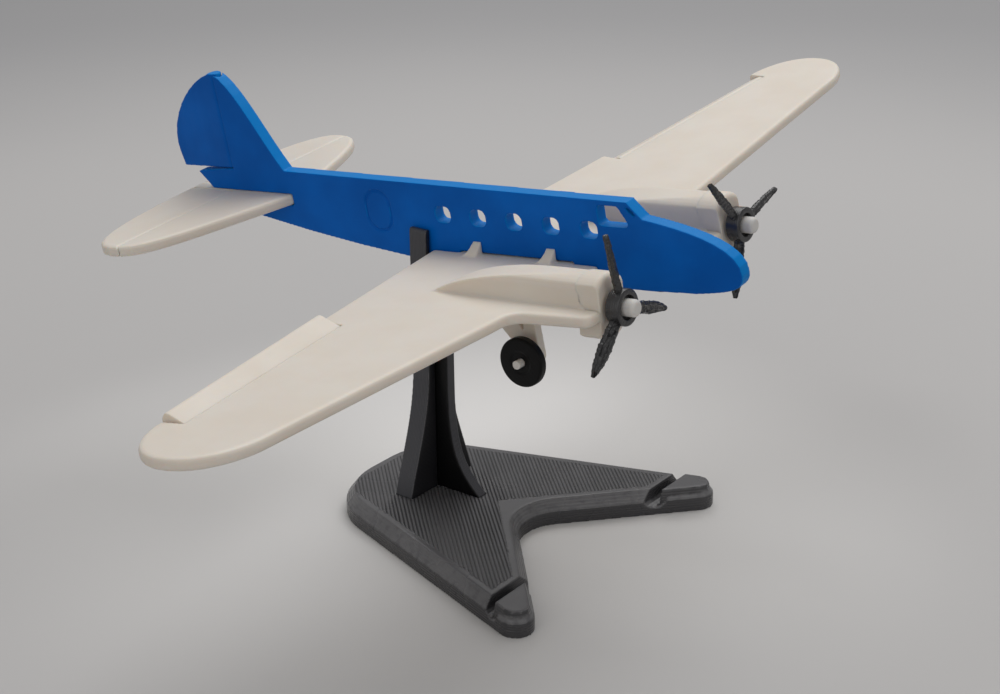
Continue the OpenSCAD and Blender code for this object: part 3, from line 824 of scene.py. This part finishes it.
def closed_shell(rows: np.ndarray, ring: bool = False) -> Shell:
    """Faces over rows of points, each row a closed loop.

    Quads join point j of row i to point j + 1 and to row i + 1. With ring the last row joins the
    first; otherwise each end is closed by a fan to the row's mean.

    Args:
        rows: Rows by points by 3.
        ring: Whether the rows close on themselves.

    Returns:
        The points, n by 3, and the faces.
    """
    n, m, _ = rows.shape
    points = rows.reshape(-1, 3)
    i, j = np.meshgrid(np.arange(n if ring else n - 1), np.arange(m), indexing="ij")
    a, b = i * m + j, i * m + (j + 1) % m
    c, d = ((i + 1) % n) * m + (j + 1) % m, ((i + 1) % n) * m + j
    faces = np.stack([a, b, c, d], axis=-1).reshape(-1, 4).tolist()
    if not ring:
        poles = np.stack([rows[0].mean(axis=0), rows[-1].mean(axis=0)])
        points = np.concatenate([points, poles])
        k = np.arange(m)
        after, end = (k + 1) % m, (n - 1) * m
        first = np.stack([np.full(m, n * m), after, k], axis=-1)
        last = np.stack([np.full(m, n * m + 1), end + k, end + after], axis=-1)
        faces += first.tolist() + last.tolist()
    return points, faces


def powered(values: np.ndarray, power: float) -> np.ndarray:
    """Each value's size to a power, with the value's own sign."""
    return np.sign(values) * np.abs(values) ** power


def turned_rows(profile: np.ndarray, around: int, wobble: float = 0.0) -> np.ndarray:
    """A profile turned about the X axis.

    Row i, point j lies at the profile's distance along X and at its radius times the cosine and
    sine of the turn. The radius swells with the wobble times sin(3 turn + 1) + 0.6 sin(5 turn),
    over 1.6, which that never exceeds.

    Args:
        profile: n by 2, distance along the axis and radius.
        around: Points round the axis.
        wobble: Share by which the radius swells at most.

    Returns:
        n by around by 3.
    """
    turn = np.arange(around) / around * 2 * math.pi
    swell = 1 + wobble * (np.sin(3 * turn + 1.0) + np.sin(5 * turn) * 0.6) / 1.6
    radius = profile[:, 1:] * swell[None, :]
    x = np.broadcast_to(profile[:, :1], radius.shape)
    return np.stack([x, radius * np.cos(turn), radius * np.sin(turn)], axis=-1)


def eased(corners: Sequence[Triple], steps: int = 5) -> np.ndarray:
    """A closed profile whose corners are rounded.

    At a corner p with radius r the path leaves the way to it at r and comes back at r on the next
    one, along the parabola with p as its middle control.

    Args:
        corners: Points with their radii.
        steps: Steps in each rounding.

    Returns:
        The points, n by 2.
    """
    given = np.array(corners, float)
    p, r = given[:, None, :2], given[:, None, 2:]
    back, on = np.roll(p, 1, axis=0) - p, np.roll(p, -1, axis=0) - p
    start = p + back / np.linalg.norm(back, axis=-1, keepdims=True) * r
    end = p + on / np.linalg.norm(on, axis=-1, keepdims=True) * r
    t = np.linspace(0, 1, steps + 1)[:, None]
    return ((1 - t) ** 2 * start + 2 * t * (1 - t) * p + t**2 * end).reshape(-1, 2)


def made_piece(
    name: str, shells: Sequence[Shell], place: Matrix, to_print: Matrix, stack: Stack
) -> Object:
    """One mesh of several closed shells.

    Args:
        name: The piece's name.
        shells: The shells.
        place: The frame that the points are given in.
        to_print: The part's own frame, for its print attributes.
        stack: Which axis its layers are stacked along.

    Returns:
        The object, with its faces pointing outwards.
    """
    points = np.concatenate([own for own, _ in shells])
    faces: list[list[int]] = []
    start = 0
    for own, own_faces in shells:
        faces += [[start + k for k in face] for face in own_faces]
        start += len(own)
    mesh = bpy.data.meshes.new(name)
    mesh.from_pydata((moved(points, place) * MM).tolist(), [], faces)
    work = bmesh.new()
    work.from_mesh(mesh)
    bmesh.ops.remove_doubles(work, verts=work.verts, dist=SAME_POINT)
    bmesh.ops.recalc_face_normals(work, faces=work.faces)
    work.to_mesh(mesh)
    work.free()
    mesh.shade_smooth()
    mesh.set_sharp_from_angle(angle=math.radians(SHARP))
    print_attributes(mesh, to_print, stack)
    return in_scene(name, mesh)


@dataclass(frozen=True)
class Airframe:
    """The blue fuselage plate with its rudder and the cream tailplane with its elevators."""

    blue_edge: Softness = Softness(0.1, 4)
    cream_edge: Softness = Softness(0.08, 3)

    def build(self) -> None:
        """The fuselage and its rudder, then the tailplane and its elevators."""
        place = ATTITUDE.model()
        softened("fuselage_plate", "model", BLUE, place, Stack.SIDEWAYS, self.blue_edge)
        softened("rudder", "rudder", BLUE, place, Stack.SIDEWAYS, self.blue_edge)
        softened("tailplane", "model", CREAM, place, Stack.UP, self.cream_edge)
        for side in Side:
            node = "elevator_" + side.word
            softened(node, node, CREAM, place, Stack.UP, self.cream_edge)


@dataclass(frozen=True)
class Wing:
    """One wing half with its aileron, nacelle, cowl and landing gear."""

    side: Side
    plate_edge: Softness = Softness(0.12, 8, buried=(16.8, 0.5))
    cowl_edge: Softness = Softness(0.08, 7, buried=(16.85, -0.5))
    small_edge: Softness = Softness(0.08, 4)
    peg_edge: Softness = Softness(0.05, 3)

    def build(self) -> None:
        """The plates of the wing, aileron, cowl and gear leg, with the axle's peg."""
        place = ATTITUDE.wing(self.side)
        word = self.side.word
        aileron = "aileron_" + word
        softened("wing_" + word, "model", CREAM, place, Stack.UP, self.plate_edge)
        softened(aileron, aileron, CREAM, place, Stack.UP, self.small_edge)
        softened("engine_cowl_" + word, "model", CREAM, place, Stack.UP, self.cowl_edge)
        softened("gear_leg_" + word, "model", CREAM, place, Stack.SIDEWAYS, self.small_edge)
        softened("axle_" + word, "model", PIN, place, Stack.SIDEWAYS, self.peg_edge)


@dataclass(frozen=True)
class Raggedness:
    """How unevenly a propeller's blade came off the printer.

    Each wave has its count along the blade, its strength and a random start up to phases. The
    waves change the chord and the thickness by a share and bend the blade to its side, the last
    two some stations later. ridges and rough are shares of the thickness.
    """

    waves: tuple[tuple[int, float], ...] = ((3, 0.5), (7, 0.6), (12, 0.5), (19, 0.3))
    phases: float = 6.3
    chord: float = 0.05
    thick: float = 0.04
    thick_lag: int = 9
    bend: float = 0.02
    bend_lag: int = 30
    ridges: float = 0.28
    bands: int = 12
    rough: float = 0.2


@dataclass(frozen=True)
class Propeller:
    """A rough printed propeller of three twisted blades on a cupped hub, with its dome-headed pin.

    Its place is in the wing's frame. Its first blade stands at the angle stop, a blade starts
    root_in inside the hub, and the oval's powers square off its section across and through it.
    """

    side: Side
    stop: float
    blades: int = 3
    first_seed: int = 5
    seed_step: int = 11
    hub_back: float = 19.36
    engine_y: float = 11.26
    thrust_z: float = -0.12
    hub_r: float = 1.85
    hub_l: float = 1.5
    bore: float = 0.62
    bore_round: float = 0.05
    back_round: float = 0.16
    front_round: float = 0.2
    recess: float = 0.6
    recess_r: float = 1.24
    recess_round: float = 0.08
    around_hub: int = 72
    tip_r: float = 7.7
    root_in: float = 0.35
    blade_w: float = 1.35
    blade_t: float = 0.6
    oval: Pair = (0.8, 0.7)
    pitch: float = 28.0
    stations: int = 90
    around: int = 40
    ragged: Raggedness = Raggedness()
    pin_edge: Softness = Softness(0.05, 3)

    def hub(self) -> Shell:
        """The hub: a closed profile from the bore round the back and the rim to the cup, turned.

        Returns:
            The hub's shell, its back at 0.
        """
        cup = self.hub_l - self.recess
        profile = eased(
            [
                (0.0, self.bore, self.bore_round),
                (0.0, self.hub_r, self.back_round),
                (self.hub_l, self.hub_r, self.front_round),
                (self.hub_l, self.recess_r, self.recess_round),
                (cup, self.recess_r, self.recess_round),
                (cup, self.bore, self.bore_round),
            ]
        )
        return closed_shell(turned_rows(profile, self.around_hub), ring=True)

    def _sizes(self, u: np.ndarray, lumps: np.ndarray) -> tuple[np.ndarray, np.ndarray]:
        """Chord and thickness along a blade.

        The chord goes as 0.82 + 0.28 sin(1.05 pi u). Past u = 0.6 it rounds off, as the square
        root of 1 - 0.9 t to the power 1.8, where t is (u - 0.6) / 0.4. The thickness goes as
        0.8 + 0.2 cos(2.2 u).

        Args:
            u: Place along the blade, 0 at its root and 1 at its tip.
            lumps: The uneven waves at those places.

        Returns:
            The chord and the thickness at each place.
        """
        swell = 0.82 + 0.28 * np.sin(math.pi * np.clip(u * 1.05, 0, 1))
        end = np.sqrt(1 - 0.9 * np.clip((u - 0.6) / 0.4, 0, 1) ** 1.8)
        chord = self.blade_w * swell * end * (1 + self.ragged.chord * lumps)
        late = np.roll(lumps, self.ragged.thick_lag)
        thick = self.blade_t * (0.8 + 0.2 * np.cos(u * 2.2)) * (1 + self.ragged.thick * late)
        return chord, thick

    def blade(self, turn: float, seed: int) -> Shell:
        """One blade.

        Its section at each station is an oval, squared off by powers of cos and sin, with three
        shallow ridges, cos(3 pi) of the place across it, and random steps in its thickness. The
        section is turned by the pitch about the blade's own line, and the blade by its place on
        the hub.

        Args:
            turn: Angle of the blade on the hub.
            seed: Which lumps it has.

        Returns:
            The blade's shell, around the hub's axis.
        """
        ragged = self.ragged
        dice = np.random.default_rng(seed)
        u = np.linspace(0, 1, self.stations)
        lumps = sum(
            strength * np.sin(count * u * math.pi * 2 + dice.uniform(0, ragged.phases))
            for count, strength in ragged.waves
        )
        chord, thick = self._sizes(u, lumps)
        v = np.linspace(0, 2 * math.pi, self.around, endpoint=False)
        across, through = powered(np.cos(v), self.oval[0]), powered(np.sin(v), self.oval[1])
        band = np.minimum((u * ragged.bands).astype(int), ragged.bands - 1)
        steps = dice.uniform(-1, 1, (ragged.bands, self.around))[band]
        uneven = 1 + ragged.ridges * np.cos(across * 3 * math.pi) + ragged.rough * steps
        bend = ragged.bend * np.roll(lumps, ragged.bend_lag)
        y = chord[:, None] / 2 * across + bend[:, None]
        z = thick[:, None] / 2 * through * uneven
        pitch = math.radians(-self.side.value * self.pitch)
        ahead = z * math.cos(pitch) - y * math.sin(pitch)
        aside = y * math.cos(pitch) + z * math.sin(pitch)
        root = self.hub_r - self.root_in
        outwards = (root + (self.tip_r - root) * u)[:, None]
        cos, sin = math.cos(math.radians(turn)), math.sin(math.radians(turn))
        rows = [
            ahead + self.hub_l / 2, outwards * cos - aside * sin, outwards * sin + aside * cos
        ]
        return closed_shell(np.stack(rows, axis=-1))

    def build(self) -> None:
        """The propeller, level however the wing rises, and its pin."""
        node = "propeller_" + self.side.word
        wing = ATTITUDE.wing(self.side)
        hub = wing @ Matrix.Translation((self.hub_back, self.engine_y, self.thrust_z))
        level = hub @ turned("X", -ATTITUDE.dihedral)
        way, apart = self.side.value, 360 / self.blades
        blades = [
            self.blade(self.stop + way * apart * k, self.first_seed + way + self.seed_step * k)
            for k in range(self.blades)
        ]
        piece = made_piece(node + "_rough", [self.hub(), *blades], level, hub, Stack.FORWARD)
        finish_piece(piece, node, node, PROPELLER)
        pin = "propeller_pin_" + self.side.word
        softened(pin, "model", PIN, wing, Stack.FORWARD, self.pin_edge)


@dataclass(frozen=True)
class Wheel:
    """A black disc wheel on its axle, at a place in the wing's frame.

    Its middle is sunk, from rim_share of the radius down to sunk_share.
    """

    side: Side
    at: Triple = (7.95, 11.51, -6.9)
    radius: float = 2.6
    width: float = 1.0
    bore: float = 0.52
    rim_share: float = 0.5
    sunk_share: float = 0.42
    sunk: float = 0.08
    tread_round: float = 0.28
    sunk_round: float = 0.1
    bore_round: float = 0.04
    around: int = 96
    wobble: float = 0.004

    def build(self) -> None:
        """The wheel: a closed profile from the bore round the rim and the middle, turned about Y."""
        down = self.width - self.sunk
        profile = eased(
            [
                (0.0, self.bore, self.bore_round),
                (0.0, self.radius, self.tread_round),
                (self.width, self.radius, self.tread_round),
                (self.width, self.rim_share * self.radius, self.sunk_round),
                (down, self.sunk_share * self.radius, self.sunk_round),
                (down, self.bore, self.bore_round),
            ]
        )
        shell = closed_shell(turned_rows(profile, self.around, self.wobble), ring=True)
        wing = ATTITUDE.wing(self.side)
        place = wing @ Matrix.Translation(self.at) @ turned("Z", 90)
        node = "wheel_" + self.side.word
        piece = made_piece(node + "_turned", [shell], place, wing, Stack.SIDEWAYS)
        finish_piece(piece, node, node, WHEEL)


@dataclass(frozen=True)
class Stand:
    """The V-footed base, the fork post and its brace.

    Each of a tooth's rings has its height and how far it is inside the base's outline, and arc
    points round the tip.
    """

    rings: tuple[Pair, ...] = ((1.0, 0.3), (1.6, 0.25), (2.85, 0.55))
    arc: int = 5
    base_edge: Softness = Softness(0.14, 2, kept=0.4)
    plate_edge: Softness = Softness(0.12, 2)

    def tooth(self, side: Side) -> Shell:
        """The steep tooth at an arm's tip, before the trough.

        Each ring is the tip's arc about its middle with the radius less the inset, from the normal
        of the outer edge round to that of the inner one, closed by the two edges run back to the
        trough.

        Args:
            side: Which arm.

        Returns:
            The tooth's shell.
        """
        shape = FOOT_SHAPE
        out, inwards = math.radians(shape.out), math.radians(shape.inwards)
        turn = np.linspace(math.pi / 2 + out, inwards - math.pi / 2, self.arc)
        rings = []
        for z, inset in self.rings:
            round_tip = np.stack([np.cos(turn), np.sin(turn)], axis=-1) * (shape.tip_r - inset)
            arc = np.array(shape.tip) + round_tip
            back = [
                (shape.tooth_rear, y - (x - shape.tooth_rear) * math.tan(angle))
                for (x, y), angle in ((arc[0], out), (arc[-1], inwards))
            ]
            x, y = np.concatenate([back[:1], arc, back[1:]]).T
            rings.append(np.column_stack([x, side.value * y, np.full(len(x), z)]))
        return closed_shell(np.stack(rings))

    def build(self) -> None:
        """All three, as softened copies, the base with its teeth."""
        here = Matrix.Identity(4)
        teeth = [self.tooth(side) for side in Side]
        softened("stand_base", "stand", FOOT, here, Stack.UP, self.base_edge, teeth)
        softened("stand_post", "stand", POST, here, Stack.FORWARD, self.plate_edge)
        softened("stand_brace", "stand", BRACE_IN_PAINTED_SHADE, here, Stack.SIDEWAYS, self.plate_edge)


@dataclass(frozen=True)
class Lamp:
    """A square soft lamp, with its place and the length of its side in millimetres."""

    name: str
    at: Triple
    size: float
    watts: float

    def build(self, target: Triple) -> None:
        """Adds the lamp to the scene.

        Args:
            target: The place that it points at, in millimetres.
        """
        data = bpy.data.lights.new(self.name, "AREA")
        data.size = self.size * MM
        data.energy = self.watts
        made = in_scene(self.name, data)
        made.location = Vector(self.at) * MM
        made.rotation_mode = "QUATERNION"
        made.rotation_quaternion = (Vector(target) - Vector(self.at)).to_track_quat("-Z", "Y")


@dataclass(frozen=True)
class Studio:
    """The pale floor, the soft light and the camera at the photograph's angle.

    The camera's heading is round from X. The floor's colour goes from near to middle and to far
    over the two fades, which noise moves by up to half of cloud; these, half_floor and clip are
    in metres. The bright near colour is a painted pool of light round the stand, against the
    shadow that it casts, and the darker middle and far colours are painted falloff of light.
    """

    eye: Triple = (124.77, -150.34, 99.86)
    heading: float = 127.44
    down: float = 22.415
    roll: float = -0.65
    lens: float = 67.5
    sensor: float = 36
    clip: Pair = (0.01, 10)
    target: Triple = (0, 0, 30)
    lamps: tuple[Lamp, ...] = (
        Lamp("Key from above", (-60, 190, 420), 460, 1.5),
        Lamp("Fill from the nose", (420, -60, 200), 300, 0.2),
        Lamp("Fill from the front", (60, -430, 170), 380, 0.32),
    )
    sky: float = 0.33
    half_floor: float = 8
    squares: int = 8
    # Painted light on the floor: bright near the stand against the shadow that it casts, darker further
    # out
    near: Triple = (222, 220, 218)
    middle: Triple = (183, 181, 180)
    far: Triple = (157, 156, 157)
    near_fade: Pair = (0.015, 0.065)
    far_fade: Pair = (0.13, 0.28)
    cloud: float = 0.03
    cloud_scale: float = 9.0
    matt: float = 0.7

    def floor_material(self) -> Material:
        """The floor's plastic, whose tone falls off slowly away from the stand as painted light: bright
        round the stand, against the shadow that it casts, and darker further out.

        Returns:
            The material.
        """
        made = bpy.data.materials.new("Pale desk")
        made.use_nodes = True
        tree = Tree(made.node_tree)
        shader = made.node_tree.nodes["Principled BSDF"]
        at = tree.node("TexCoord").outputs["Object"]
        away = tree.node("VectorMath", {0: at}, operation="LENGTH").outputs["Value"]
        noise = tree.noise(at, self.cloud_scale, detail=2.0)
        away = tree.math("ADD", away, tree.math("MULTIPLY_ADD", noise, self.cloud, -self.cloud / 2))
        # Painted light: bright round the stand, darker further out
        colour = tree.mix(tree.ramp(away, self.near_fade), linear(self.near), linear(self.middle))
        colour = tree.mix(tree.ramp(away, self.far_fade), colour, linear(self.far))
        tree.put(shader.inputs["Base Color"], colour)
        shader.inputs["Roughness"].default_value = self.matt
        return made

    def floor(self) -> None:
        """A wide floor: an even grid of squares at the desk's height."""
        n = self.squares + 1
        edge = np.linspace(-self.half_floor, self.half_floor, n)
        x, y = np.meshgrid(edge, edge, indexing="ij")
        points = np.stack([x, y, np.zeros_like(x)], axis=-1).reshape(-1, 3)
        i, j = np.meshgrid(np.arange(n - 1), np.arange(n - 1), indexing="ij")
        a = (i * n + j).ravel()
        faces = np.stack([a, a + n, a + n + 1, a + 1], axis=-1)
        mesh = bpy.data.meshes.new("desk")
        mesh.from_pydata(points.tolist(), [], faces.tolist())
        mesh.materials.append(self.floor_material())
        desk = in_scene("desk", mesh)

    def camera(self) -> None:
        """The camera: turned to its heading, tipped down and rolled about its own line."""
        data = bpy.data.cameras.new("Camera")
        data.lens = self.lens
        data.sensor_width = self.sensor
        data.clip_start, data.clip_end = self.clip
        made = in_scene("Camera", data)
        heading, down = math.radians(self.heading), math.radians(self.down)
        level = math.cos(down)
        ahead = Vector((math.cos(heading) * level, math.sin(heading) * level, -math.sin(down)))
        roll = turned("Z", self.roll).to_quaternion()
        made.location = Vector(self.eye) * MM
        made.rotation_mode = "QUATERNION"
        made.rotation_quaternion = ahead.to_track_quat("-Z", "Y") @ roll
        bpy.context.scene.camera = made

    def build(self) -> None:
        """Floor, lamps, world and camera."""
        self.floor()
        for lamp in self.lamps:
            lamp.build(self.target)
        world = bpy.data.worlds.new("Light tent")
        world.use_nodes = True
        light = world.node_tree.nodes["Background"].inputs
        light["Color"].default_value = (1, 1, 1, 1)
        light["Strength"].default_value = self.sky
        bpy.context.scene.world = world
        bpy.context.scene.view_settings.view_transform = "Standard"
        self.camera()


# Angle of each propeller's first blade in its wing's frame, as it stopped in the photograph
STOPS = {Side.STARBOARD: 83.0, Side.PORT: 9.0}


def main() -> None:
    logging.basicConfig(level=logging.INFO, format="%(name)s: %(message)s")
    Studio().build()
    Airframe().build()
    for side in Side:
        Wing(side).build()
        Propeller(side, STOPS[side]).build()
        Wheel(side).build()
    Stand().build()


if __name__ == "__main__":
    main()
